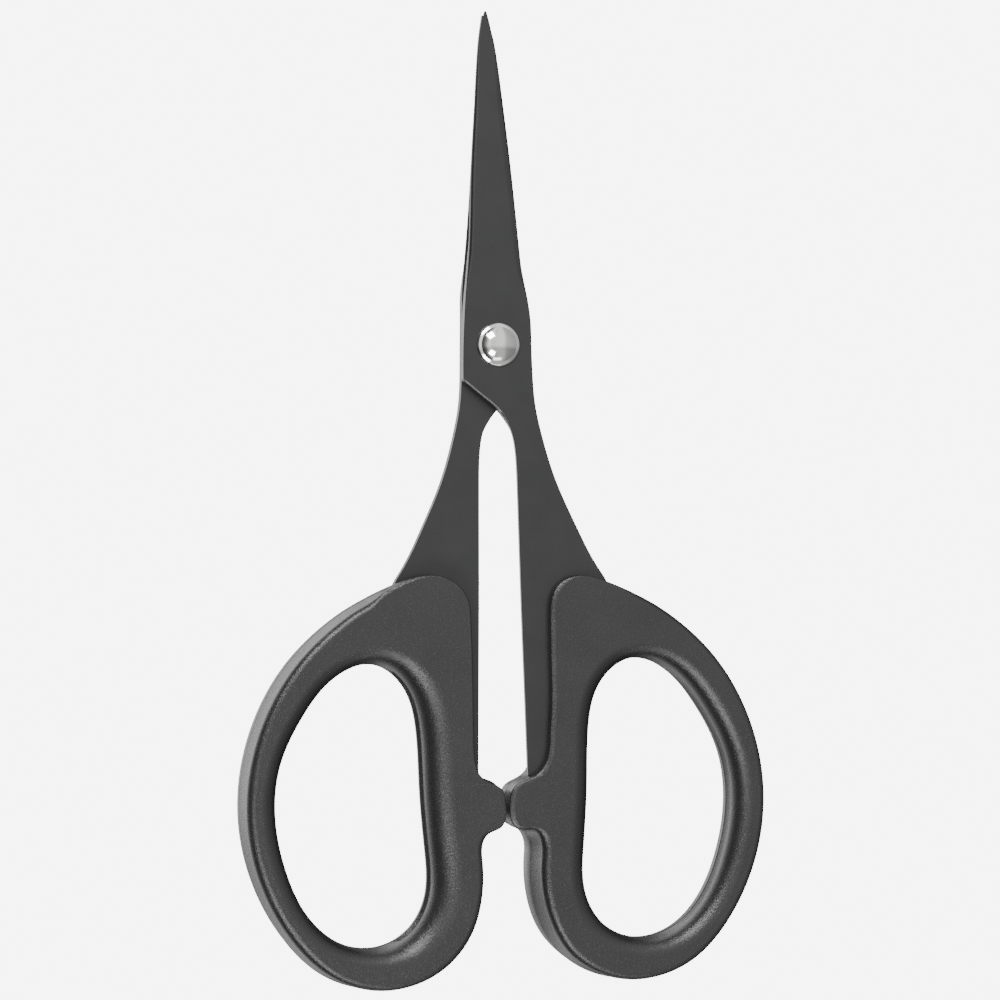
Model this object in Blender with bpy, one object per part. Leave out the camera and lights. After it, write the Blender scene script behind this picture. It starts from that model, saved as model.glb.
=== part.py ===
"""Small two-ring embroidery scissors, closed and lying flat, front face up.

Two flat coated blades cross on one domed rivet. Each blade runs on as a shank whose tang is moulded
into a plastic finger loop, and a nub on each loop stops the scissors when they close.
+Y points to the tips, +X to the right of someone who looks down on the front, +Z up.
Every outline below is in millimetres from the pivot, with Z = 0 where the two blades meet.
"""

import math

import bmesh
import bpy
from mathutils import Vector

MM = 0.001

# The pivot's place in the world: the origin is under the middle of the whole object.
PIVOT = Vector((0.0, 17.7, 3.0))

# Blades
BLADE_THICKNESS = 1.6
BLADE_GAP = 0.1  # between the two inner faces
TIP_THICKNESS = 0.75
TAPER_START = 8.0  # the blade thins from here to its tip
TIP_Y = 39.4
FACE_CHAMFER = 0.12
BEVEL_WIDTH = 0.8  # the ground facet along the cutting edge
BEVEL_START = 5.0
BEVEL_FULL = 10.0
EDGE_THICKNESS = 0.3

# Plastic loops
HANDLE_HALF = 3.0  # half of the loops' thickness
OUTER_ROUND = 0.7
RIM_ROUND_INNER_ARM = 2.3  # rounding of the finger hole beside the shank
RIM_ROUND_OUTER_ARM = 1.7
RIM_BLEND_X = 15.0
RIM_BLEND_LENGTH = 3.0
TANG_GAP = 0.15  # between the tang and the plastic around it

# Rivet and its washer
SHANK_RADIUS = 1.45
RUNNING_CLEARANCE = 0.05
FIXED_CLEARANCE = 0.1
HEAD_RADIUS = 2.6
HEAD_RIM = 0.25
HEAD_HEIGHT = 1.1
WASHER_RADIUS = 2.4
WASHER_THICKNESS = 0.4
TAIL_RADIUS = 2.0
TAIL_HEIGHT = 0.45
SEAT_GAP = 0.1
ROUND_SEGMENTS = 48

# Outline of the front half, whose shank goes to the right. Each list is a smooth line through its points.
FRONT_CUTTING_EDGE = [(-0.75, 38.4), (0.05, 36.8), (0.72, 33.4), (1.28, 28.7), (2.28, 19.3), (3.1, 10.0), (3.52, 6.2)]
FRONT_SPINE = [(-3.35, 10.0), (-2.75, 19.3), (-2.08, 28.7), (-1.72, 33.4), (-1.42, 36.4), (-1.1, 38.4)]
REAR_CUTTING_EDGE = [
    (0.6, TIP_Y), (0.85, 38.3), (1.25, 36.5), (1.62, 33.4), (2.05, 28.7), (2.78, 19.3), (3.52, 10.0), (3.88, 6.2),
]
REAR_SPINE = [(-3.15, 10.0), (-2.2, 19.3), (-1.2, 28.7), (-0.75, 33.4), (-0.28, 36.5), (0.1, 38.3), (0.4, TIP_Y)]
# The rest of the plate is the same for both halves: bolster, shank, tang and back up along the slot.
BOLSTER_OUTER = [(3.95, 3.0), (4.02, 0.0), (4.1, -3.5), (4.35, -7.0)]
SHANK_OUTER = [(5.08, -10.6), (6.65, -15.9), (9.0, -21.3), (11.85, -26.7)]
TANG_OUTER = [(12.3, -28.6), (11.2, -31.0), (8.6, -34.8), (7.4, -40.0), (7.2, -47.0)]
TANG_END = [(6.6, -50.2), (4.9, -51.1), (3.2, -51.1)]
SLOT_EDGE = [(2.7, -50.4), (2.3, -31.0), (2.05, -16.0), (1.9, -12.6), (1.55, -10.5), (0.84, -8.8)]
SHOULDER = [(-0.3, -7.4), (-2.2, -5.8), (-3.85, -4.4), (-4.07, -4.0)]
BOLSTER_INNER = [(-4.06, -2.5), (-4.05, 0.0), (-3.95, 3.0), (-3.75, 6.2)]

# Outline of the right loop: one smooth closed line, split where its two faces differ.
LOOP_OUTSIDE = [
    (2.95, -60.5), (3.1, -64.5), (4.7, -69.3), (8.7, -73.3), (15.2, -74.95), (21.9, -73.0),
    (26.5, -68.4), (29.4, -62.95), (31.0, -56.6), (31.0, -50.5), (29.1, -43.3), (25.5, -37.1), (21.0, -32.65),
    (17.9, -30.5), (15.1, -29.05),
]
NUB = [(0.2, -53.2), (0.2, -55.3), (0.75, -56.4), (2.3, -57.2), (2.95, -58.4)]
# On the face that the tang lies nearest, the plastic leaves a wide strip of metal bare.
TANG_SIDE_BORDER = [
    (12.3, -27.85), (9.9, -27.15), (7.6, -27.4), (6.1, -28.6), (5.5, -30.2), (5.35, -32.8), (5.35, -37.0),
    (5.35, -41.7), (5.1, -45.6), (4.7, -48.5), (3.7, -50.1), (2.3, -50.8), (1.15, -51.3), (0.45, -52.1),
]
# On the other face it comes closer to the slot.
FAR_SIDE_BORDER = [
    (12.4, -27.7), (10.0, -26.9), (7.6, -26.85), (5.6, -27.8), (4.35, -29.4), (3.95, -32.0), (3.85, -36.5),
    (3.85, -41.4), (3.8, -45.6), (3.5, -48.0), (2.9, -49.8), (2.1, -50.7), (1.15, -51.3), (0.45, -52.1),
]
FINGER_HOLE = [
    (27.05, -54.7), (26.3, -48.2), (23.8, -43.1), (19.75, -38.45), (15.4, -37.05), (11.7, -39.85), (10.2, -45.0),
    (9.9, -52.0), (9.4, -59.0), (9.5, -64.4), (11.6, -68.2), (15.3, -70.05), (19.6, -69.4), (23.3, -66.2),
    (26.0, -60.4),
]

COLOURS = {
    "coated_steel": ((0.03, 0.03, 0.032, 1.0), 0.42, 0.6),
    "polished_steel": ((0.78, 0.78, 0.76, 1.0), 0.12, 1.0),
    "black_plastic": ((0.022, 0.022, 0.023, 1.0), 0.5, 0.0),
}


def clear_scene():
    for obj in list(bpy.data.objects):
        bpy.data.objects.remove(obj, do_unlink=True)


def material(name):
    made = bpy.data.materials.get(name) or bpy.data.materials.new(name)
    colour, roughness, metallic = COLOURS[name]
    made.use_nodes = True
    shader = made.node_tree.nodes["Principled BSDF"]
    shader.inputs["Base Color"].default_value = colour
    shader.inputs["Roughness"].default_value = roughness
    shader.inputs["Metallic"].default_value = metallic
    return made


def smooth_line(points, steps, closed=False):
    """Catmull-Rom line through the points, with this many steps between two of them."""
    count = len(points)
    line = []
    for i in range(count if closed else count - 1):
        if closed:
            a, b, c, d = (Vector(points[(i + k) % count]) for k in (-1, 0, 1, 2))
        else:
            a, b, c, d = (Vector(points[min(max(i + k, 0), count - 1)]) for k in (-1, 0, 1, 2))
        for step in range(steps):
            t = step / steps
            line.append(
                0.5 * (2 * b + (c - a) * t + (2 * a - 5 * b + 4 * c - d) * t**2 + (3 * b - a - 3 * c + d) * t**3)
            )
    if not closed:
        line.append(Vector(points[-1]))
    return line


def inset(loop, distances):
    """Moves each point of a clockwise loop inwards, square to the line through its neighbours."""
    moved = []
    for i, point in enumerate(loop):
        along = loop[(i + 1) % len(loop)] - loop[i - 1]
        inward = Vector((along.y, -along.x)).normalized()
        moved.append(point + inward * distances[i])
    return moved


def at_height(loop, heights):
    return [Vector((point.x, point.y, height)) for point, height in zip(loop, heights)]


def add_loops(mesh, loops):
    """Adds the loops' points and joins each loop to the next with a band of faces."""
    rings = [[mesh.verts.new(point * MM) for point in loop] for loop in loops]
    for low, high in zip(rings, rings[1:]):
        for i in range(len(low)):
            j = (i + 1) % len(low)
            mesh.faces.new((low[i], low[j], high[j], high[i]))
    return rings


def edges_of(ring):
    """The edges from each point of a ring to the next."""
    found = []
    for i, point in enumerate(ring):
        following = ring[(i + 1) % len(ring)]
        found += [edge for edge in point.link_edges if edge.other_vert(point) is following]
    return found


def finish(mesh, name, material_name, parent):
    bmesh.ops.recalc_face_normals(mesh, faces=mesh.faces)
    data = bpy.data.meshes.new(name)
    mesh.to_mesh(data)
    mesh.free()
    obj = bpy.data.objects.new(name, data)
    bpy.context.scene.collection.objects.link(obj)
    if material_name:
        data.materials.append(material(material_name))
        data.shade_smooth()
        data.set_sharp_from_angle(angle=math.radians(30))
    obj.parent = parent
    return obj


def cut(obj, cutter):
    cutter.hide_render = True
    cutter.display_type = "WIRE"
    modifier = obj.modifiers.new(f"cut by {cutter.name}", "BOOLEAN")
    modifier.operation = "DIFFERENCE"
    modifier.solver = "EXACT"
    modifier.object = cutter


def turned(name, profile, material_name, parent):
    """A solid of revolution about Z. The profile's points are (radius, height); radius 0 closes it."""
    mesh = bmesh.new()
    rings = []
    for radius, height in profile:
        if radius == 0:
            rings.append([mesh.verts.new(Vector((0, 0, height)) * MM)] * ROUND_SEGMENTS)
            continue
        turns = [2 * math.pi * k / ROUND_SEGMENTS for k in range(ROUND_SEGMENTS)]
        rings.append(
            [mesh.verts.new(Vector((radius * math.cos(a), radius * math.sin(a), height)) * MM) for a in turns]
        )
    closed = profile[0][0] != 0
    for low, high in zip(rings, rings[1:] + rings[:1] if closed else rings[1:]):
        for i in range(ROUND_SEGMENTS):
            j = (i + 1) % ROUND_SEGMENTS
            corners = [low[i], low[j], high[j], high[i]]
            mesh.faces.new(sorted(set(corners), key=corners.index))
    return finish(mesh, name, material_name, parent)


def plate_outline(cutting_edge, spine):
    """Clockwise outline of a blade with its shank and tang, from the tip down the cutting edge."""
    down = cutting_edge + BOLSTER_OUTER + SHANK_OUTER + TANG_OUTER + TANG_END + SLOT_EDGE + SHOULDER
    return smooth_line(down + BOLSTER_INNER + spine, 4, closed=True)


def blade_thickness(y):
    thinned = min(max((y - TAPER_START) / (TIP_Y - TAPER_START), 0), 1)
    return BLADE_THICKNESS + (TIP_THICKNESS - BLADE_THICKNESS) * thinned


def bevel_share(point, side):
    """How far the ground facet has come in here: 0 on the spine and below the bolster, 1 along the edge."""
    if side < 0:
        return 0
    return min(max((point.y - BEVEL_START) / (BEVEL_FULL - BEVEL_START), 0), 1)


def blade(name, cutting_edge, spine, parent):
    outline = plate_outline(cutting_edge, spine)
    middle = [(cutting_edge[0][0] + spine[-1][0]) / 2 * (p.y / TIP_Y) for p in outline]
    shares = [bevel_share(p, p.x - m) for p, m in zip(outline, middle)]
    low = BLADE_GAP / 2
    tops = [low + blade_thickness(p.y) for p in outline]
    narrowing = [min(1, max(TIP_Y - 0.8 - p.y, 0) / 8) for p in outline]
    widths = [FACE_CHAMFER * (0.3 + 0.7 * n) + (BEVEL_WIDTH - FACE_CHAMFER) * s * n for s, n in zip(shares, narrowing)]
    shoulders = [
        top - FACE_CHAMFER - (top - low - FACE_CHAMFER - EDGE_THICKNESS) * s for top, s in zip(tops, shares)
    ]
    mesh = bmesh.new()
    loops = [at_height(outline, [low] * len(outline)), at_height(outline, shoulders)]
    loops.append(at_height(inset(outline, widths), tops))
    rings = add_loops(mesh, loops)
    mesh.faces.new(rings[0])
    mesh.faces.new(rings[-1])
    return finish(mesh, name, "coated_steel", parent)


def tang_cutter(name, grow, parent):
    """The part of the plate that lies in the plastic, grown on every side."""
    outline = plate_outline(FRONT_CUTTING_EDGE, FRONT_SPINE)
    grown = inset(outline, [-grow] * len(outline))
    mesh = bmesh.new()
    low = BLADE_GAP / 2 - grow
    high = BLADE_GAP / 2 + BLADE_THICKNESS + grow
    rings = add_loops(mesh, [at_height(grown, [z] * len(grown)) for z in (low, high)])
    mesh.faces.new(rings[0])
    mesh.faces.new(rings[-1])
    return finish(mesh, name, None, parent)


def loop_outline(border):
    """Clockwise outline of the right loop with this border beside the shank."""
    return smooth_line(LOOP_OUTSIDE + border + NUB, 4, closed=True)[::-1]


def rounded_edge(outline, radius, top):
    """Four loops that round an outline over to a flat face at height top."""
    loops = []
    for turn in (0, 30, 60, 90):
        a = math.radians(turn)
        sink = [radii * (1 - math.cos(a)) for radii in radius]
        heights = [top - math.copysign(radii * (1 - math.sin(a)), top) for radii in radius]
        loops.append(at_height(inset(outline, sink), heights))
    return loops


def finger_loop(name, parent):
    tang_side = loop_outline(TANG_SIDE_BORDER)
    far_side = loop_outline(FAR_SIDE_BORDER)
    ledge = BLADE_GAP / 2 - TANG_GAP
    outer_radii = [OUTER_ROUND] * len(tang_side)
    outside = rounded_edge(far_side, outer_radii, -HANDLE_HALF)[::-1]
    outside.append(at_height(far_side, [ledge] * len(far_side)))
    outside.append(at_height(tang_side, [ledge] * len(tang_side)))
    outside += rounded_edge(tang_side, outer_radii, HANDLE_HALF)

    hole = smooth_line(FINGER_HOLE, 4, closed=True)
    inner_share = [0.5 - 0.5 * math.tanh((p.x - RIM_BLEND_X) / RIM_BLEND_LENGTH) for p in hole]
    radii = [RIM_ROUND_OUTER_ARM + (RIM_ROUND_INNER_ARM - RIM_ROUND_OUTER_ARM) * s for s in inner_share]
    inside = rounded_edge(hole, radii, -HANDLE_HALF)[::-1] + rounded_edge(hole, radii, HANDLE_HALF)

    mesh = bmesh.new()
    outer_rings = add_loops(mesh, outside)
    inner_rings = add_loops(mesh, inside)
    for end in (0, -1):
        rim = edges_of(outer_rings[end]) + edges_of(inner_rings[end])
        bmesh.ops.triangle_fill(mesh, use_beauty=True, use_dissolve=False, edges=rim)
    bmesh.ops.remove_doubles(mesh, verts=mesh.verts, dist=1e-7)
    loop = finish(mesh, name, "black_plastic", parent)
    cut(loop, tang_cutter(f"{name}_tang_space", TANG_GAP, parent))
    return loop


def dome(radius, rim, height, base, outwards):
    """Profile of a domed end: a short upright rim, then a quarter of an ellipse to the axis."""
    points = [(radius, base + outwards * rim)]
    for step in range(1, 9):
        a = math.radians(90 * step / 8)
        points.append((radius * math.cos(a), base + outwards * (rim + (height - rim) * math.sin(a))))
    points[-1] = (0, points[-1][1])
    return points


def rivet(parent):
    head_seat = BLADE_GAP / 2 + BLADE_THICKNESS + SEAT_GAP
    tail_seat = -(head_seat + WASHER_THICKNESS + SEAT_GAP)
    head = dome(HEAD_RADIUS, HEAD_RIM, HEAD_HEIGHT, head_seat, 1)
    tail = dome(TAIL_RADIUS, 0.1, TAIL_HEIGHT, tail_seat, -1)
    profile = head[::-1] + [(HEAD_RADIUS - 0.1, head_seat), (SHANK_RADIUS, head_seat)]
    profile += [(SHANK_RADIUS, tail_seat), (TAIL_RADIUS, tail_seat)] + tail
    return turned("pivot_rivet", profile, "polished_steel", parent)


def washer(parent):
    top = -(BLADE_GAP / 2 + BLADE_THICKNESS + SEAT_GAP)
    bottom = top - WASHER_THICKNESS
    bore = SHANK_RADIUS + FIXED_CLEARANCE
    profile = [(bore, top), (WASHER_RADIUS, top), (WASHER_RADIUS, bottom + 0.1), (WASHER_RADIUS - 0.1, bottom)]
    profile.append((bore, bottom))
    return turned("rear_washer", profile, "polished_steel", parent)


def bore(name, radius, parent):
    reach = BLADE_THICKNESS * 2
    return turned(name, [(0, reach), (radius, reach), (radius, -reach), (0, -reach)], None, parent)


def empty(name, rotation=(0, 0, 0)):
    made = bpy.data.objects.new(name, None)
    made.location = PIVOT * MM
    made.rotation_euler = rotation
    bpy.context.scene.collection.objects.link(made)
    return made


def main():
    clear_scene()
    right_half = empty("right_half")
    # The left half is the right one turned over about the long axis.
    left_half = empty("left_half", (0, math.pi, 0))

    front_blade = blade("front_blade", FRONT_CUTTING_EDGE, FRONT_SPINE, right_half)
    cut(front_blade, bore("front_bore", SHANK_RADIUS + RUNNING_CLEARANCE, right_half))
    finger_loop("right_finger_loop", right_half)

    rear_blade = blade("rear_blade", REAR_CUTTING_EDGE, REAR_SPINE, left_half)
    cut(rear_blade, bore("rear_bore", SHANK_RADIUS + FIXED_CLEARANCE, left_half))
    finger_loop("left_finger_loop", left_half)

    pivot = empty("pivot")
    rivet(pivot)
    washer(pivot)


main()
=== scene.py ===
"""Small two-ring embroidery scissors, lying closed on a plain pale surface.

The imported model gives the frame. Every piece here stands for one of its nodes and rides on the same body.
Outlines are in millimetres from the pivot, with z = 0 where the two blades meet.
"""

import math

import bmesh
import bpy
import numpy as np
from mathutils import Matrix, Vector
from mathutils.geometry import delaunay_2d_cdt

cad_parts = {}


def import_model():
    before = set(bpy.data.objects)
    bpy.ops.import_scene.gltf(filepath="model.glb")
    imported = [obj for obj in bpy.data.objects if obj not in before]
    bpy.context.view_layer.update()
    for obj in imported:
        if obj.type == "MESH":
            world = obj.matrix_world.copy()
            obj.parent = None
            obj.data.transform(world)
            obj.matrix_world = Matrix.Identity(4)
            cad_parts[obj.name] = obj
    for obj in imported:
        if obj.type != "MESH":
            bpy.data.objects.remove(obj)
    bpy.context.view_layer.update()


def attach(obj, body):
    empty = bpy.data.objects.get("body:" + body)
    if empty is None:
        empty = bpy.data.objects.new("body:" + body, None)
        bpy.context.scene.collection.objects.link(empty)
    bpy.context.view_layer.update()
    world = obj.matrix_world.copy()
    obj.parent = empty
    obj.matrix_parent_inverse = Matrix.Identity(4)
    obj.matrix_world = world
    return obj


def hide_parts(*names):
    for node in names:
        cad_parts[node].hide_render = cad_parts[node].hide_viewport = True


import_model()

MM = 0.001
PIVOT = np.array([0.0, 17.7, 3.0])

# Blades, which both have their inner face at BLADE_LOW before one of them is turned over
BLADE_LOW = 0.05
BLADE_THICKNESS = 1.6
TIP_THICKNESS = 0.75
TAPER_START = 6.0
TIP_Y = 39.4
BORE_RADIUS = 1.5
SHANK_ROUND = 0.13
SPINE_ROUND = 0.5
EDGE_THICKNESS = 0.35
GRIND_DEPTH = 0.13
SHOULDER_CHAMFER_WIDTH, SHOULDER_CHAMFER_DEPTH = 0.22, 0.07
INNER_CHAMFER = 0.04
GROUND_FROM, SPINE_FROM, LEANING_SPINE_FROM = (5.0, 10.0), (6.0, 11.0), (9.5, 13.0)
SHOULDER_REACH, SHOULDER_FROM, SHOULDER_TO = 1.2, (-8.6, -7.6), (-4.6, -3.9)
SLOT_REACH, SLOT_TO = 3.3, (-10.5, -8.6)
SLOT_LEAN, SPINE_LEAN = 0.16, 0.12
EDGES_NARROW_OVER, EDGES_AT_TIP = 11.0, 0.11
BORE_SEGMENTS = 64

# Spacing of the outline's points: along the blades, the tang's end, the slot and small corners
LONG_SPACING, TANG_END_SPACING, SLOT_SPACING, CORNER_SPACING = 0.3, 0.16, 0.22, 0.08
BLADE_GRID, LOOP_GRID = 0.9, 1.0

FRONT_CUTTING_EDGE = [
    (-0.72, 38.75), (0.05, 36.8), (0.72, 33.4), (1.28, 28.7), (2.28, 19.3), (3.1, 10.0), (3.52, 6.2),
]
FRONT_SPINE = [(-3.35, 10.0), (-2.86, 19.3), (-2.2, 28.7), (-1.83, 33.4), (-1.5, 36.4), (-1.1, 38.75)]
REAR_CUTTING_EDGE = [
    (0.6, TIP_Y), (0.85, 38.3), (1.22, 36.5), (1.57, 33.4), (1.98, 28.7), (2.68, 19.3), (3.52, 10.0),
    (3.88, 6.2),
]
REAR_SPINE = [
    (-3.15, 10.0), (-2.2, 19.3), (-1.2, 28.7), (-0.75, 33.4), (-0.28, 36.5), (0.1, 38.3), (0.4, TIP_Y),
]
BOLSTER_OUTER = [(3.95, 3.0), (4.02, 0.0), (4.1, -3.5), (4.35, -7.0)]
SHANK_OUTER = [(5.08, -10.6), (6.65, -15.9), (9.0, -21.3), (11.85, -26.7)]
TANG_OUTER = [(12.7, -28.45), (11.2, -31.0), (8.6, -34.8), (7.4, -40.0), (7.2, -47.0), (6.6, -50.2)]
TANG_END = [(6.6, -50.2), (5.6, -51.1), (3.4, -51.1), (2.72, -50.5)]
SLOT_EDGE = [
    (2.72, -50.5), (2.5, -40.0), (2.3, -31.0), (2.05, -16.0), (1.9, -12.6), (1.55, -10.5), (0.84, -8.8),
]
SHOULDER = [(-0.3, -7.4), (-2.2, -5.8), (-3.98, -4.3)]
SHOULDER_CORNER = [(-3.98, -4.3), (-4.18, -4.05), (-4.22, -3.75)]
BOLSTER_INNER = [(-4.22, -3.75), (-4.14, 0.0), (-3.98, 3.0), (-3.75, 6.2)]

# Loops: the outer edge, whose front is fuller where it faces left, then the border beside the blade
HANDLE_HALF = 3.0
EDGE_ROUND, EDGE_DRAFT = 0.7, 0.07
LEFT_EDGE_ROUND, LEFT_EDGE_DRAFT = 1.1, 0.55
INNER_FOOT_DRAFT, INNER_FOOT_LEAN = 0.45, 0.2
INNER_FOOT_REACH = 3.2, 7.5
BORDER_ROUND, BORDER_CHAMFER, CHAMFER_SLOPE = 0.2, 0.42, 21.0
PARTING_DEPTH = 0.11
PARTING_WIDTH = 0.13
LOOP_SPACING = 0.22

# Loops: the finger hole's rim, which is rounder beside the tang than on the outer arm
RIM_DRAFT, LEFT_RIM_DRAFT = 0.08, 0.3
RIM_ROUND_OUTER_ARM = 1.7
LEFT_RIM_EXTRA = 0.5
RIM_ROUND_TANG_SIDE = 1.9
RIM_ROUND_FAR_SIDE = 3.4
RIM_FALL = 2.7
RIM_BLEND_X = 13.5
RIM_BLEND_LENGTH = 3.0
LEFT_RIM_START, LEFT_RIM_END = 13.5, 17.5

LOOP_OUTSIDE = [
    (2.95, -60.5), (3.1, -64.5), (4.7, -69.3), (8.7, -73.3), (15.2, -74.94), (21.9, -73.0),
    (26.5, -68.4), (29.4, -62.95), (31.0, -56.6), (31.0, -50.5), (29.1, -43.3), (25.5, -37.1),
    (21.0, -32.65), (17.9, -30.5), (15.1, -29.05),
]
NUB = [(0.2, -53.2), (0.2, -55.3), (0.75, -56.4), (2.3, -57.2), (2.95, -58.4)]
TANG_SIDE_BORDER = [
    (12.3, -27.85), (9.9, -27.15), (7.6, -27.4), (6.1, -28.6), (5.5, -30.2), (5.35, -32.8), (5.35, -37.0),
    (5.35, -41.7), (5.1, -45.6), (4.7, -48.5), (3.7, -50.1), (2.3, -50.8), (1.15, -51.3), (0.45, -52.1),
]
FAR_SIDE_BORDER = [
    (12.4, -27.7), (10.0, -26.9), (7.6, -26.85), (5.6, -27.8), (4.35, -29.4), (3.95, -32.0), (3.85, -36.5),
    (3.85, -41.4), (3.85, -46.0), (3.72, -48.6), (3.2, -50.15), (2.3, -50.9), (1.25, -51.4), (0.45, -52.1),
]
FINGER_HOLE = [
    (27.05, -54.7), (26.3, -48.2), (23.8, -43.1), (19.75, -38.45), (15.4, -37.15), (11.7, -39.85),
    (10.2, -45.0), (9.9, -52.0), (9.4, -59.0), (9.5, -64.4), (11.6, -68.2), (15.3, -70.05), (19.6, -69.4),
    (23.3, -66.2), (26.0, -60.4),
]

# Rivet: HEAD_BALL is the dome's radius, which covers HEAD_SLOPE degrees on each side
HEAD_RADIUS = 2.6
HEAD_HEIGHT = 1.1
HEAD_BALL, HEAD_SLOPE = 3.41, 38.0
LIP_START, LIP_HEIGHT, LIP_SLOPE, LIP_ROUND = 2.1, 0.4, 21.0, 0.4
HEAD_CLEARANCE = 0.06
SHANK_RADIUS = 1.45
TAIL_RADIUS, TAIL_HEIGHT, TAIL_ROUND = 2.05, 0.5, 0.15
TAIL_CLEARANCE = 0.6
WASHER_INNER, WASHER_OUTER = 1.55, 2.4
WASHER_CLEARANCE, WASHER_THICKNESS = 0.1, 0.4
TURNED_SEGMENTS = 128

# Studio: brightness against the angle round the scissors' length, in degrees to the left of straight up
PALE = 7.0
STUDIO_TOP = 3.0
STUDIO = [
    (-180, 0.3), (-160, 0.06), (-96, 0.06), (-88, 0.5), (-40, 0.75), (-22, 1.42), (0, 1.42), (14, 1.2),
    (24, 1.2), (31, 1.7), (38, 1.2), (46, 0.35), (56, 0.12), (92, 0.06), (104, 0.9), (128, 2.4), (158, 2.8),
    (180, 0.3),
]
# Towards the loops' end it fades to FOOT_END_LEVEL, over these values of the direction's y
FOOT_END_LEVEL = 0.5
FOOT_END_FADE = -0.22, -0.02
END_SHIFT = 0.25

# Camera: its place in millimetres, and how far it is turned to the left, tilted and rolled, in degrees
CAMERA_PLACE = (-77.83, -3.66, 378.81)
CAMERA_ANGLES = (-11.735, -0.475, 0.966)
LENS, SENSOR_WIDTH = 117.53, 36.0


# ---------------------------------------------------------------- curves

def smoothstep(x, start, end):
    """0 up to the start, 1 from the end, and a smooth rise between them."""
    t = np.clip((x - start) / (end - start), 0, 1)
    return t * t * (3 - 2 * t)


def mix(start, end, share):
    """From start, where the share is 0, to end, where it is 1."""
    return start * (1 - share) + end * share


def circle(segments):
    """Points round a circle of radius 1."""
    turns = np.linspace(0, 2 * math.pi, segments, endpoint=False)
    return np.stack([np.cos(turns), np.sin(turns)], axis=1)


def spline(points, spacing, closed=False, counts=None):
    """Points along the twice-smooth curve through the given points, about spacing apart."""
    p = np.array(points, float)
    n = len(p)
    q = np.vstack([p, p[:1]]) if closed else p
    h = np.linalg.norm(np.diff(q, axis=0), axis=1)
    a, b = np.zeros((n, n)), np.zeros((n, 2))
    for i in range(n):
        if not closed and i in (0, n - 1):
            a[i, i] = 1
            continue
        before, after = h[i - 1], h[i]
        a[i, i - 1] += before
        a[i, i] += 2 * (before + after)
        a[i, (i + 1) % n] += after
        b[i] = 6 * ((q[i + 1] - p[i]) / after - (p[i] - p[i - 1]) / before)
    m = np.linalg.solve(a, b)
    line = []
    for i in range(len(h)):
        j = (i + 1) % n
        steps = counts[i] if counts is not None else max(2, round(h[i] / spacing))
        t = np.linspace(0, h[i], steps, endpoint=False)[:, None]
        r = h[i] - t
        line.append(
            m[i] * r**3 / (6 * h[i]) + m[j] * t**3 / (6 * h[i])
            + (p[i] / h[i] - m[i] * h[i] / 6) * r + (p[j] / h[i] - m[j] * h[i] / 6) * t
        )
    return np.vstack(line)


def interval_counts(points, spacing):
    """How many steps a closed spline takes from each point to the next, for two outlines to share."""
    p = np.array(points, float)
    return [max(2, round(d / spacing)) for d in np.linalg.norm(np.roll(p, -1, axis=0) - p, axis=1)]


def into_material(line, hole=False):
    """Unit normals of a closed line, pointing into the material."""
    along = np.roll(line, -1, axis=0) - np.roll(line, 1, axis=0)
    normal = np.stack([-along[:, 1], along[:, 0]], axis=1)
    normal /= np.linalg.norm(normal, axis=1, keepdims=True)
    x, y = line.T
    turns_left = (x * np.roll(y, -1) - np.roll(x, -1) * y).sum() > 0
    return normal if turns_left != hole else -normal


def inside(points, line):
    """Which of the points lie inside the closed line."""
    x, y = points.T[:, :, None]
    (ax, ay), (bx, by) = line.T, np.roll(line, -1, axis=0).T
    crosses = (ay > y) != (by > y)
    with np.errstate(divide="ignore", invalid="ignore"):
        at = ax + (y - ay) * (bx - ax) / (by - ay)
    return (crosses & (x < at)).sum(axis=1) % 2 == 1


# ---------------------------------------------------------------- meshes

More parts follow.
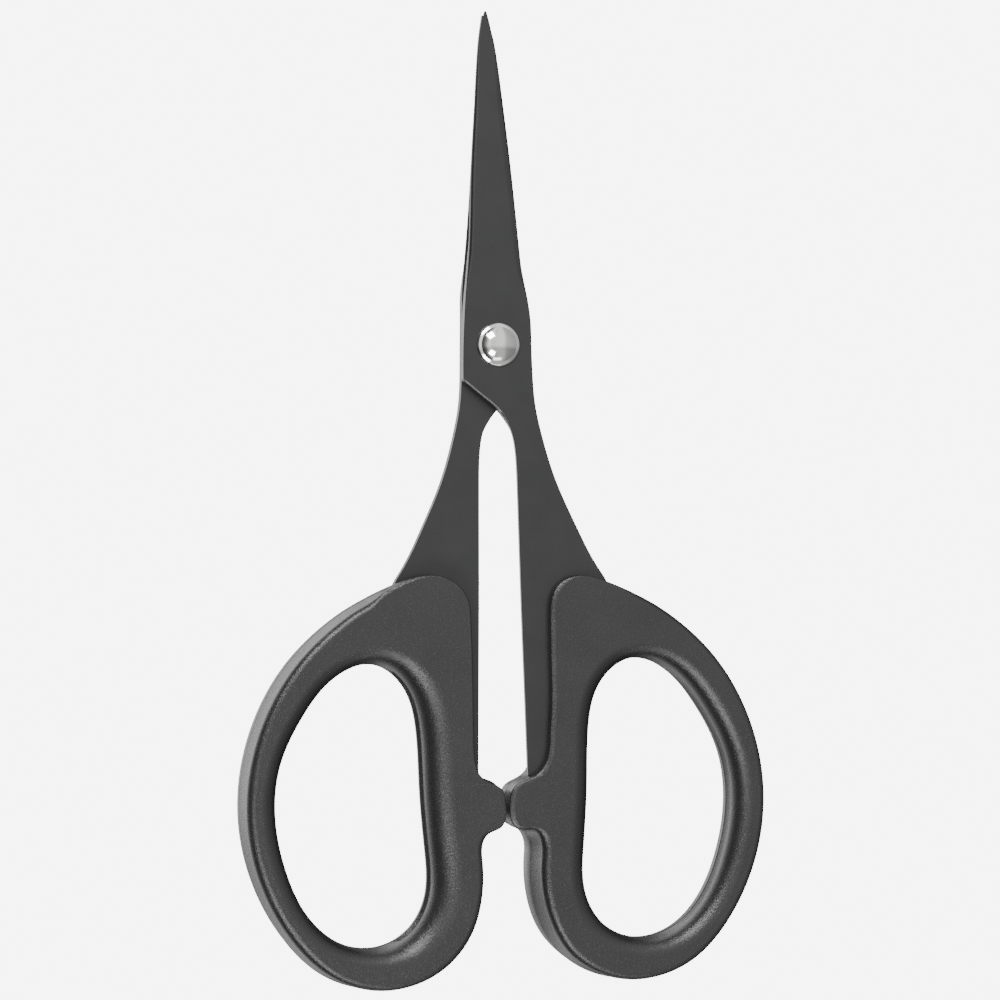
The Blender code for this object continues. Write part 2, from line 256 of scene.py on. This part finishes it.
class Shell:
    """Collects the rings and faces of one closed mesh."""

    def __init__(self):
        self.points, self.faces = [], []

    def ring(self, line, height):
        start = len(self.points)
        heights = np.broadcast_to(height, len(line))
        self.points.extend((x, y, z) for (x, y), z in zip(line, heights))
        return range(start, start + len(line))

    def band(self, low, high):
        for i in range(len(low)):
            j = (i + 1) % len(low)
            self.faces.append((low[i], low[j], high[j], high[i]))

    def bands(self, rings):
        for low, high in zip(rings, rings[1:]):
            self.band(low, high)

    def cap(self, rings, height, spacing):
        """Fills the flat region that the rings bound. height(x, y) gives its surface."""
        index = [i for ring in rings for i in ring]
        flat = np.array([self.points[i][:2] for i in index])
        edges, start = [], 0
        for ring in rings:
            n = len(ring)
            edges += [(start + k, start + (k + 1) % n) for k in range(n)]
            start += n
        lo, hi = flat.min(0), flat.max(0)
        gx, gy = np.meshgrid(np.arange(lo[0], hi[0], spacing), np.arange(lo[1], hi[1], spacing * 0.866))
        gx[1::2] += spacing / 2
        grid = np.stack([gx.ravel(), gy.ravel()], axis=1)
        near = np.full(len(grid), 1e9)
        for k in range(0, len(flat), 200):
            part = flat[k:k + 200]
            near = np.minimum(near, ((grid[:, None] - part[None]) ** 2).sum(2).min(1))
        grid = grid[near > (0.45 * spacing) ** 2]
        given = [Vector(v) for v in np.vstack([flat, grid])]
        points, _, faces, origins, _, _ = delaunay_2d_cdt(given, edges, [], 1, 1e-7)
        middles = np.array([[sum(points[v][k] for v in face) / 3 for k in (0, 1)] for face in faces])
        in_hole = np.zeros(len(faces), bool)
        for ring in rings[1:]:
            in_hole |= inside(middles, np.array([self.points[i][:2] for i in ring]))
        place = {}
        for face, left_out in zip(faces, in_hole):
            if left_out:
                continue
            corners = []
            for v in face:
                if v not in place:
                    old = [o for o in origins[v] if o < len(index)]
                    if old:
                        place[v] = index[old[0]]
                    else:
                        x, y = points[v]
                        place[v] = len(self.points)
                        self.points.append((x, y, float(height(np.array([x]), np.array([y]))[0])))
                corners.append(place[v])
            self.faces.append(tuple(corners))

    def build(self, name, turned_over=False, sharp=38):
        points = np.array(self.points)
        if turned_over:
            points = points * [-1, 1, -1]
        points = (points + PIVOT) * MM
        mesh = bpy.data.meshes.new(name)
        mesh.from_pydata([tuple(p) for p in points], [], self.faces)
        work = bmesh.new()
        work.from_mesh(mesh)
        bmesh.ops.recalc_face_normals(work, faces=work.faces)
        work.to_mesh(mesh)
        work.free()
        mesh.shade_smooth()
        mesh.set_sharp_from_angle(angle=math.radians(sharp))
        obj = bpy.data.objects.new(name, mesh)
        bpy.context.scene.collection.objects.link(obj)
        return obj


# ---------------------------------------------------------------- blades

def blade_outline(cutting_edge, spine):
    """Closed outline from the tip down the cutting edge, round the tang and back up the spine."""
    runs = [
        (cutting_edge + BOLSTER_OUTER + SHANK_OUTER + TANG_OUTER, LONG_SPACING),
        (TANG_END, TANG_END_SPACING),
        (SLOT_EDGE + SHOULDER, SLOT_SPACING),
        (SHOULDER_CORNER, CORNER_SPACING),
        (BOLSTER_INNER + spine, LONG_SPACING),
        ([spine[-1], cutting_edge[0]], CORNER_SPACING),
    ]
    return np.vstack([spline(points, spacing) for points, spacing in runs])


def blade_top(x, y):
    """Height of the outer face: even at the pivot, then thinner towards the tip."""
    t = np.clip((y - TAPER_START) / (TIP_Y - TAPER_START), 0, 1)
    return BLADE_LOW + BLADE_THICKNESS + (TIP_THICKNESS - BLADE_THICKNESS) * t * (0.35 + 0.65 * t)


def blade_zones(line, cutting_edge, spine):
    """How much each point belongs to the cutting edge, the spine, the shoulder and the slot, 0 to 1."""
    x, y = line.T
    middle = (cutting_edge[0][0] + spine[-1][0]) / 2 * np.clip(y / TIP_Y, 0, 1)
    cutting = (x > middle) * smoothstep(y, *GROUND_FROM)
    backed = (x <= middle) * smoothstep(y, *SPINE_FROM)
    shoulder = (x < SHOULDER_REACH) * (1 - smoothstep(y, *SHOULDER_TO)) * smoothstep(y, *SHOULDER_FROM)
    slot = (x < SLOT_REACH) * (1 - smoothstep(y, *SLOT_TO))
    return cutting, backed, shoulder, slot


def blade_rings(line, inward, zones):
    """(line, height) of each ring from the inner face, over the edges, to the outer face."""
    x, y = line.T
    top = blade_top(x, y)
    cutting, backed, shoulder, slot = zones
    narrow = np.clip((TIP_Y - 0.4 - y) / EDGES_NARROW_OVER, EDGES_AT_TIP, 1)
    edge = BLADE_LOW + EDGE_THICKNESS
    grind_top = top - GRIND_DEPTH * narrow

    def blend(plain, ground, crowned):
        return plain * (1 - cutting - backed) + ground * cutting + crowned * backed

    spine_lean = SPINE_LEAN * backed * smoothstep(y, *LEANING_SPINE_FROM) * narrow
    lean = (SLOT_LEAN * slot + spine_lean)[:, None]
    rings = [
        (line + inward * (lean + INNER_CHAMFER), BLADE_LOW),
        (line + inward * lean, BLADE_LOW + INNER_CHAMFER),
    ]
    grind = [
        (0.0, edge),
        (0.17, edge + 0.55 * (grind_top - edge)),
        (0.34, grind_top),
        (0.36, grind_top + 0.004),
        (0.92, top),
        (0.96, top),
    ]
    for step, (width, ground_height) in enumerate(grind):
        share = min(step / 4, 1)
        past = 0.05 if step == 5 else 0
        inset = 1 - math.cos(math.radians(90 * share))
        drop = 1 - math.sin(math.radians(90 * share))
        plain_inset = mix(SHANK_ROUND * inset, SHOULDER_CHAMFER_WIDTH * share, shoulder) + past
        plain_drop = mix(SHANK_ROUND * drop, SHOULDER_CHAMFER_DEPTH * (1 - share), shoulder)
        spine_inset = (SPINE_ROUND * inset + past) * narrow
        spine_drop = SPINE_ROUND * drop * narrow
        out = blend(plain_inset, width * narrow, spine_inset)
        height = blend(top - plain_drop, ground_height, top - spine_drop)
        rings.append((line + inward * out[:, None], height))
    return rings


def blade(name, cutting_edge, spine, turned_over):
    """A blade with its bolster, shank and tang, and the rivet's bore."""
    line = blade_outline(cutting_edge, spine)
    zones = blade_zones(line, cutting_edge, spine)
    shell = Shell()
    rings = [shell.ring(*ring) for ring in blade_rings(line, into_material(line), zones)]
    shell.bands(rings)
    bore = circle(BORE_SEGMENTS) * BORE_RADIUS
    bore_rings = [shell.ring(bore, BLADE_LOW), shell.ring(bore, BLADE_LOW + BLADE_THICKNESS)]
    shell.bands(bore_rings)
    shell.cap([rings[0], bore_rings[0]], lambda x, y: np.full(len(x), BLADE_LOW), BLADE_GRID)
    shell.cap([rings[-1], bore_rings[-1]], blade_top, BLADE_GRID)
    return shell.build(name, turned_over, sharp=24)


# ---------------------------------------------------------------- loops

def fillet(line, inward, draft, radius, fall, side, steps=8, chamfer=0.0):
    """Rings from a wall, which leans in by draft, over a rounding (radius wide, fall high) to the face.

    A chamfer of this width, where there is one, lies between the rounding and the face.
    """
    draft, radius, fall, chamfer = (np.broadcast_to(v, len(line)) for v in (draft, radius, fall, chamfer))
    slope = math.radians(CHAMFER_SLOPE) * np.clip(chamfer / 0.1, 0, 1)
    last = math.radians(90) - slope
    drop = chamfer * np.tan(slope)
    rings = []
    for k in range(steps + 1):
        turn = last * k / steps
        inset = draft + radius * (1 - np.cos(turn))
        height = side * (HANDLE_HALF - drop - fall * (np.sin(last) - np.sin(turn)))
        rings.append((line + inward * inset[:, None], height))
    top = draft + radius * (1 - np.cos(last)) + chamfer
    for past in (0.01, 0.1):
        rings.append((line + inward * (top + past)[:, None], side * HANDLE_HALF))
    return rings


def outside_share(counts):
    """1 from the nub down and round the loop's outside, 0 along its border, with smooth changes."""
    outside = [k < len(LOOP_OUTSIDE) - 1 or k >= len(counts) - 2 for k in range(len(counts))]
    along = np.concatenate([np.full(n, float(out)) for out, n in zip(outside, counts)])
    reach = 8
    window = np.hanning(2 * reach + 1)
    wrapped = np.concatenate([along[-reach:], along, along[:reach]])
    return np.convolve(wrapped, window / window.sum(), "valid")


def left_share(inward, turned_over):
    """How far a wall faces left as the closed scissors lie, from 0 to 1."""
    leftwards = inward[:, 0] * (-1 if turned_over else 1)
    return smoothstep(leftwards, -0.1, 0.9)


def rim_radius(line, inner_radius):
    """Rounding of the finger hole's rim: inner_radius beside the tang, less on the outer arm."""
    inner = 0.5 - 0.5 * np.tanh((line[:, 0] - RIM_BLEND_X) / RIM_BLEND_LENGTH)
    return mix(RIM_ROUND_OUTER_ARM, inner_radius, inner)


def outer_rings(turned_over):
    """Rings of the outer wall, from the face on the far side of the tang to the face on the tang's side.

    The two sides have borders of their own at the blade, which meet at the parting line.
    """
    tang_points = LOOP_OUTSIDE + TANG_SIDE_BORDER + NUB
    far_points = LOOP_OUTSIDE + FAR_SIDE_BORDER + NUB
    counts = interval_counts(tang_points, LOOP_SPACING)
    tang, far = (spline(points, LOOP_SPACING, True, counts) for points in (tang_points, far_points))
    tang_in, far_in = into_material(tang), into_material(far)
    share = outside_share(counts)

    def foot_share(line, inward):
        """1 on the part of the wall below the nub that faces the other loop and left."""
        near = 1 - smoothstep(line[:, 0], *INNER_FOOT_REACH)
        return near * left_share(inward, turned_over) * share

    def edge(line, inward, side):
        front = (side > 0) != turned_over
        left = left_share(inward, turned_over) * front
        radius = mix(BORDER_ROUND, mix(EDGE_ROUND, LEFT_EDGE_ROUND, left), share)
        draft = mix(EDGE_DRAFT, LEFT_EDGE_DRAFT, left * share)
        draft += (INNER_FOOT_DRAFT if front else -INNER_FOOT_LEAN) * foot_share(line, inward)
        chamfer = BORDER_CHAMFER * left * (1 - share)
        return fillet(line, inward, draft, radius, radius, side, chamfer=chamfer)

    far_lean = far_in * INNER_FOOT_LEAN * foot_share(far, far_in)[:, None]
    tang_lean = tang_in * INNER_FOOT_LEAN * foot_share(tang, tang_in)[:, None]
    border = np.linalg.norm(tang - far, axis=1) > 0.05
    groove = np.where(border, 0.0, PARTING_DEPTH)[:, None]
    parting = [
        (far + far_lean, BLADE_LOW - PARTING_WIDTH),
        (tang + tang_lean + tang_in * groove, BLADE_LOW),
        (tang + tang_lean, BLADE_LOW + PARTING_WIDTH),
    ]
    return edge(far, far_in, -1)[::-1] + parting + edge(tang, tang_in, 1)


def hole_rings(turned_over):
    """Rings of the finger hole's wall, in the same order."""
    hole = spline(FINGER_HOLE, LOOP_SPACING, True)
    hole_in = into_material(hole, hole=True)

    def rim(inner_radius, side):
        front = (side > 0) != turned_over
        left = left_share(hole_in, turned_over) * front
        outer = smoothstep(hole[:, 0], LEFT_RIM_START, LEFT_RIM_END)
        radius = rim_radius(hole, inner_radius) + LEFT_RIM_EXTRA * left * outer
        draft = mix(RIM_DRAFT, LEFT_RIM_DRAFT, left)
        return fillet(hole, hole_in, draft, radius, np.minimum(radius, RIM_FALL), side, steps=14)

    parting = [
        (hole, BLADE_LOW - PARTING_WIDTH),
        (hole + hole_in * PARTING_DEPTH, BLADE_LOW),
        (hole, BLADE_LOW + PARTING_WIDTH),
    ]
    return rim(RIM_ROUND_FAR_SIDE, -1)[::-1] + parting + rim(RIM_ROUND_TANG_SIDE, 1)


def finger_loop(name, turned_over):
    """A moulded loop with its closing nub. Its edges differ front and back, also when it is turned over."""
    shell = Shell()
    outside = [shell.ring(*ring) for ring in outer_rings(turned_over)]
    shell.bands(outside)
    hole = [shell.ring(*ring) for ring in hole_rings(turned_over)]
    shell.bands(hole)
    shell.cap([outside[0], hole[0]], lambda x, y: np.full(len(x), -HANDLE_HALF), LOOP_GRID)
    shell.cap([outside[-1], hole[-1]], lambda x, y: np.full(len(x), HANDLE_HALF), LOOP_GRID)
    return shell.build(name, turned_over)


# ---------------------------------------------------------------- rivet

def turned(name, profile, closed, sharp=38):
    """A solid of revolution about the pivot. The profile's points are (radius, height)."""
    shell = Shell()
    rings = []
    for radius, height in profile:
        if radius == 0:
            shell.points.append((0.0, 0.0, height))
            rings.append(len(shell.points) - 1)
        else:
            rings.append(shell.ring(circle(TURNED_SEGMENTS) * radius, height))
    pairs = list(zip(rings, rings[1:])) + ([(rings[-1], rings[0])] if closed else [])
    for low, high in pairs:
        if isinstance(low, int) or isinstance(high, int):
            tip, ring = (low, high) if isinstance(low, int) else (high, low)
            shell.faces += [(tip, ring[i], ring[(i + 1) % len(ring)]) for i in range(len(ring))]
        else:
            shell.band(low, high)
    return shell.build(name, sharp=sharp)


def tail_profile(base, steps=24):
    """The peened tail from its middle: a shallow spherical cap with a rounded rim that meets the base."""
    sphere = (TAIL_RADIUS**2 + TAIL_HEIGHT**2) / (2 * TAIL_HEIGHT)
    edge = TAIL_RADIUS - TAIL_ROUND
    tilt = math.asin(edge / sphere)
    points = [(0.0, base - TAIL_HEIGHT)]
    for step in range(1, steps + 1):
        a = tilt * step / steps
        points.append((sphere * math.sin(a), base - (TAIL_HEIGHT - sphere * (1 - math.cos(a)))))
    centre = edge - TAIL_ROUND * math.sin(tilt), points[-1][1] + TAIL_ROUND * math.cos(tilt)
    for step in range(1, 9):
        a = tilt + (math.radians(100) - tilt) * step / 8
        points.append((centre[0] + TAIL_ROUND * math.sin(a), centre[1] - TAIL_ROUND * math.cos(a)))
    return points


def head_profile(base):
    """A ball-shaped dome that ends in a low rounded lip, from its middle."""
    points = [(0.0, base + HEAD_HEIGHT)]
    for step in range(1, 25):
        a = math.radians(HEAD_SLOPE) * step / 24
        points.append((HEAD_BALL * math.sin(a), base + HEAD_HEIGHT - HEAD_BALL * (1 - math.cos(a))))
    points += [(LIP_START - 0.02, base + LIP_HEIGHT + 0.006), (LIP_START, base + LIP_HEIGHT)]
    slope = math.radians(LIP_SLOPE)
    centre = HEAD_RADIUS - LIP_ROUND
    slope_end = centre + LIP_ROUND * math.sin(slope)
    low = LIP_HEIGHT - (slope_end - LIP_START) * math.tan(slope) - LIP_ROUND * math.cos(slope)
    for step in range(11):
        a = slope + (math.radians(90) - slope) * step / 10
        points.append((centre + LIP_ROUND * math.sin(a), base + low + LIP_ROUND * math.cos(a)))
    return points


def rivet(name):
    """One piece from the domed head, down the shank, to the peened tail."""
    head_seat = BLADE_LOW + BLADE_THICKNESS + HEAD_CLEARANCE
    tail_seat = -(BLADE_LOW + BLADE_THICKNESS + TAIL_CLEARANCE)
    profile = head_profile(head_seat)
    profile += [(HEAD_RADIUS - 0.12, head_seat), (SHANK_RADIUS, head_seat)]
    profile += [(SHANK_RADIUS, tail_seat), (TAIL_RADIUS - 0.2, tail_seat)]
    profile += tail_profile(tail_seat)[::-1]
    return turned(name, profile, False)


def washer(name):
    """A thin washer between the rear blade and the rivet's tail, with its outer corners eased."""
    top = -(BLADE_LOW + BLADE_THICKNESS + WASHER_CLEARANCE)
    bottom = top - WASHER_THICKNESS
    profile = [
        (WASHER_INNER, top), (WASHER_OUTER - 0.06, top), (WASHER_OUTER, top - 0.06),
        (WASHER_OUTER, bottom + 0.1), (WASHER_OUTER - 0.03, bottom + 0.03), (WASHER_OUTER - 0.1, bottom),
        (WASHER_INNER + 0.05, bottom), (WASHER_INNER, bottom + 0.05),
    ]
    return turned(name, profile, True)


# ---------------------------------------------------------------- materials

def shader_tree(name):
    """A new material, its node tree and its Principled shader."""
    made = bpy.data.materials.new(name)
    made.use_nodes = True
    tree = made.node_tree
    return made, tree, tree.nodes["Principled BSDF"]


def node(tree, kind, **values):
    """A new node, with each value set on the input of that name or, where there is none, on the node."""
    made = tree.nodes.new(kind)
    for key, value in values.items():
        if key in made.inputs:
            made.inputs[key].default_value = value
        else:
            setattr(made, key, value)
    return made


def noise(tree, vector, scale, detail, roughness):
    """A noise pattern over the object, with this many cells to the metre."""
    made = node(tree, "ShaderNodeTexNoise", Scale=scale, Detail=detail, Roughness=roughness)
    tree.links.new(vector, made.inputs["Vector"])
    return made.outputs["Fac"]


def vary_tone(tree, shader, pattern, dark, light):
    """Base colour between these two colours."""
    tone = node(tree, "ShaderNodeValToRGB")
    for stop, position, color in zip(tone.color_ramp.elements, (0.3, 0.7), (dark, light)):
        stop.position = position
        stop.color = (*color, 1)
    tree.links.new(pattern, tone.inputs["Fac"])
    tree.links.new(tone.outputs["Color"], shader.inputs["Base Color"])


def vary_roughness(tree, shader, pattern, smooth, rough, low=0.3, high=0.7):
    """Roughness from smooth, where the pattern is low, to rough, where it is high."""
    span = node(tree, "ShaderNodeMapRange")
    for key, value in (("From Min", low), ("From Max", high), ("To Min", smooth), ("To Max", rough)):
        span.inputs[key].default_value = value
    tree.links.new(pattern, span.inputs["Value"])
    tree.links.new(span.outputs["Result"], shader.inputs["Roughness"])


def bump(tree, pattern, strength, distance):
    """A surface relief in which the pattern stands this far out."""
    made = node(tree, "ShaderNodeBump", Strength=strength, Distance=distance)
    tree.links.new(pattern, made.inputs["Height"])
    return made


def coating():
    """Dark matte coating with a fine speckle and a faint grain along the blade."""
    made, tree, shader = shader_tree("dark_coating")
    where = node(tree, "ShaderNodeTexCoord").outputs["Object"]
    along = node(tree, "ShaderNodeMapping")
    along.inputs["Scale"].default_value = (9000, 500, 9000)
    tree.links.new(where, along.inputs["Vector"])
    grain = noise(tree, along.outputs[0], 1.0, 4.0, 0.6)
    speckle = noise(tree, where, 7000.0, 3.0, 0.6)
    cloud = noise(tree, where, 260.0, 3.0, 0.55)
    vary_tone(tree, shader, cloud, (0.008, 0.008, 0.0083), (0.011, 0.011, 0.0114))
    vary_roughness(tree, shader, speckle, 0.26, 0.34)
    fine = bump(tree, speckle, 0.12, 0.00002)
    brushed = bump(tree, grain, 0.06, 0.00002)
    tree.links.new(fine.outputs["Normal"], brushed.inputs["Normal"])
    tree.links.new(brushed.outputs["Normal"], shader.inputs["Normal"])
    return made


def plastic():
    """Black moulded plastic with a fine spark-eroded texture."""
    made, tree, shader = shader_tree("black_plastic")
    where = node(tree, "ShaderNodeTexCoord").outputs["Object"]
    spark = noise(tree, where, 5200.0, 3.0, 0.65)
    cloud = noise(tree, where, 180.0, 2.0, 0.5)
    vary_tone(tree, shader, cloud, (0.013, 0.013, 0.0134), (0.016, 0.016, 0.0165))
    vary_roughness(tree, shader, spark, 0.20, 0.30)
    texture = bump(tree, spark, 0.6, 0.00008)
    tree.links.new(texture.outputs["Normal"], shader.inputs["Normal"])
    return made


def steel():
    """Polished steel with faint scratches."""
    made, tree, shader = shader_tree("polished_steel")
    shader.inputs["Metallic"].default_value = 1.0
    where = node(tree, "ShaderNodeTexCoord").outputs["Object"]
    scratches = noise(tree, where, 4000.0, 4.0, 0.6)
    vary_tone(tree, shader, scratches, (0.66, 0.66, 0.65), (0.74, 0.74, 0.73))
    vary_roughness(tree, shader, scratches, 0.07, 0.16, low=0.0, high=1.0)
    return made


def floor_material():
    """Pale where the camera sees it. Other rays pass through to the studio's light from below."""
    made = bpy.data.materials.new("pale_floor")
    made.use_nodes = True
    tree = made.node_tree
    tree.nodes.clear()
    out = node(tree, "ShaderNodeOutputMaterial")
    seen = node(tree, "ShaderNodeEmission", Strength=PALE)
    through = node(tree, "ShaderNodeBsdfTransparent")
    path = node(tree, "ShaderNodeLightPath")
    either = node(tree, "ShaderNodeMixShader")
    tree.links.new(path.outputs["Is Camera Ray"], either.inputs[0])
    tree.links.new(through.outputs[0], either.inputs[1])
    tree.links.new(seen.outputs[0], either.inputs[2])
    tree.links.new(either.outputs[0], out.inputs["Surface"])
    return made


# ---------------------------------------------------------------- stage

def floor():
    mesh = bpy.data.meshes.new("floor")
    half, low = 3.0, -0.0004
    corners = [(-half, -half, low), (half, -half, low), (half, half, low), (-half, half, low)]
    mesh.from_pydata(corners, [], [(0, 1, 2, 3)])
    obj = bpy.data.objects.new("floor", mesh)
    bpy.context.scene.collection.objects.link(obj)
    obj.data.materials.append(floor_material())


def area_light(name, direction, size, power, size_y=None):
    """A soft box 1 m away that faces the middle of the object from this direction (x, y, z)."""
    data = bpy.data.lights.new(name, "AREA")
    data.shape = "RECTANGLE"
    data.size, data.size_y = size, size_y or size
    data.energy = power
    obj = bpy.data.objects.new(name, data)
    away = Vector(direction).normalized()
    obj.location = away
    obj.rotation_mode = "QUATERNION"
    obj.rotation_quaternion = away.to_track_quat("Z", "Y")
    bpy.context.scene.collection.objects.link(obj)


def math_node(tree, operation, *inputs):
    """A math node's output. Each input is a number or another node's output."""
    made = node(tree, "ShaderNodeMath", operation=operation)
    for socket, value in zip(made.inputs, inputs):
        if isinstance(value, float):
            socket.default_value = value
        else:
            tree.links.new(value, socket)
    return made.outputs[0]


def studio_angle(tree, parts):
    """The direction's angle round the scissors' length: 0 above, positive to the left.

    Towards both ends of the scissors the angle grows a little, as if the studio were turned there.
    """
    left = math_node(tree, "MULTIPLY", parts.outputs["X"], -1.0)
    length = math_node(tree, "ABSOLUTE", parts.outputs["Y"])
    shifted = math_node(tree, "MULTIPLY_ADD", length, END_SHIFT, left)
    return math_node(tree, "ARCTAN2", shifted, parts.outputs["Z"])


def studio_ramp(tree, angle):
    """The studio's light at this angle, as a share of STUDIO_TOP."""
    place = node(tree, "ShaderNodeMapRange")
    place.inputs["From Min"].default_value = -math.pi
    place.inputs["From Max"].default_value = math.pi
    tree.links.new(angle, place.inputs["Value"])
    ramp = node(tree, "ShaderNodeValToRGB")
    stops = ramp.color_ramp.elements
    for degrees, _ in STUDIO[1:-1]:
        stops.new(degrees / 360 + 0.5)
    for stop, (degrees, level) in zip(stops, STUDIO):
        stop.position = degrees / 360 + 0.5
        stop.color = (level / STUDIO_TOP, level / STUDIO_TOP, level / STUDIO_TOP, 1)
    tree.links.new(place.outputs["Result"], ramp.inputs["Fac"])
    return ramp.outputs["Color"]


def foot_fade(tree, parts):
    """1 above the blades, FOOT_END_LEVEL beyond the loops."""
    fade = node(tree, "ShaderNodeMapRange")
    for key, value in zip(("From Min", "From Max", "To Min"), (*FOOT_END_FADE, FOOT_END_LEVEL)):
        fade.inputs[key].default_value = value
    tree.links.new(parts.outputs["Y"], fade.inputs["Value"])
    return fade.outputs["Result"]


def world():
    """The studio's soft light, which the camera sees as an even pale background."""
    made = bpy.data.worlds.new("studio")
    bpy.context.scene.world = made
    made.use_nodes = True
    tree = made.node_tree
    tree.nodes.clear()
    out = node(tree, "ShaderNodeOutputWorld")
    where = node(tree, "ShaderNodeTexCoord")
    parts = node(tree, "ShaderNodeSeparateXYZ")
    tree.links.new(where.outputs["Generated"], parts.inputs[0])
    sky = node(tree, "ShaderNodeBackground")
    tree.links.new(studio_ramp(tree, studio_angle(tree, parts)), sky.inputs["Color"])
    tree.links.new(math_node(tree, "MULTIPLY", foot_fade(tree, parts), STUDIO_TOP), sky.inputs["Strength"])
    seen = node(tree, "ShaderNodeBackground", Strength=PALE)
    seen.inputs["Color"].default_value = (1, 1, 1, 1)
    path = node(tree, "ShaderNodeLightPath")
    either = node(tree, "ShaderNodeMixShader")
    tree.links.new(path.outputs["Is Camera Ray"], either.inputs[0])
    tree.links.new(sky.outputs[0], either.inputs[1])
    tree.links.new(seen.outputs[0], either.inputs[2])
    tree.links.new(either.outputs[0], out.inputs["Surface"])


def camera():
    """Above the scissors, a little to the left, looking back at them along a slightly turned line."""
    data = bpy.data.cameras.new("camera")
    data.lens, data.sensor_width = LENS, SENSOR_WIDTH
    data.clip_start, data.clip_end = 0.01, 20.0
    obj = bpy.data.objects.new("camera", data)
    yaw, pitch, roll = (math.radians(a) for a in CAMERA_ANGLES)
    back = Vector((math.sin(yaw) * math.cos(pitch), math.sin(pitch), math.cos(yaw) * math.cos(pitch)))
    level = Vector((0, 1, 0)).cross(back).normalized()
    upright = back.cross(level)
    right = math.cos(roll) * level - math.sin(roll) * upright
    up = math.sin(roll) * level + math.cos(roll) * upright
    turn = Matrix((right, up, back)).transposed()
    obj.matrix_world = Matrix.Translation(Vector(CAMERA_PLACE) * MM) @ turn.to_4x4()
    bpy.context.scene.collection.objects.link(obj)
    bpy.context.scene.camera = obj


def fit(obj, look, body, node_name):
    """Gives a piece its look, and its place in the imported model."""
    obj.data.materials.append(look)
    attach(obj, body)
    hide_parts(node_name)


def main():
    coat, black, bright = coating(), plastic(), steel()
    front = blade("front_blade_finished", FRONT_CUTTING_EDGE, FRONT_SPINE, False)
    rear = blade("rear_blade_finished", REAR_CUTTING_EDGE, REAR_SPINE, True)
    fit(front, coat, "right_half", "front_blade")
    fit(rear, coat, "left_half", "rear_blade")
    fit(finger_loop("right_loop_finished", False), black, "right_half", "right_finger_loop")
    fit(finger_loop("left_loop_finished", True), black, "left_half", "left_finger_loop")
    fit(rivet("rivet_finished"), bright, "left_half", "pivot_rivet")
    fit(washer("washer_finished"), bright, "left_half", "rear_washer")
    floor()
    world()
    area_light("upper_softbox", (-0.36, 0.65, 0.67), 0.40, 10.0)
    area_light("lower_softbox", (-0.33, -0.50, 0.80), 0.34, 6.0)
    area_light("foot_softbox", (0.05, -0.83, 0.56), 0.5, 1.1, 0.2)
    camera()


main()
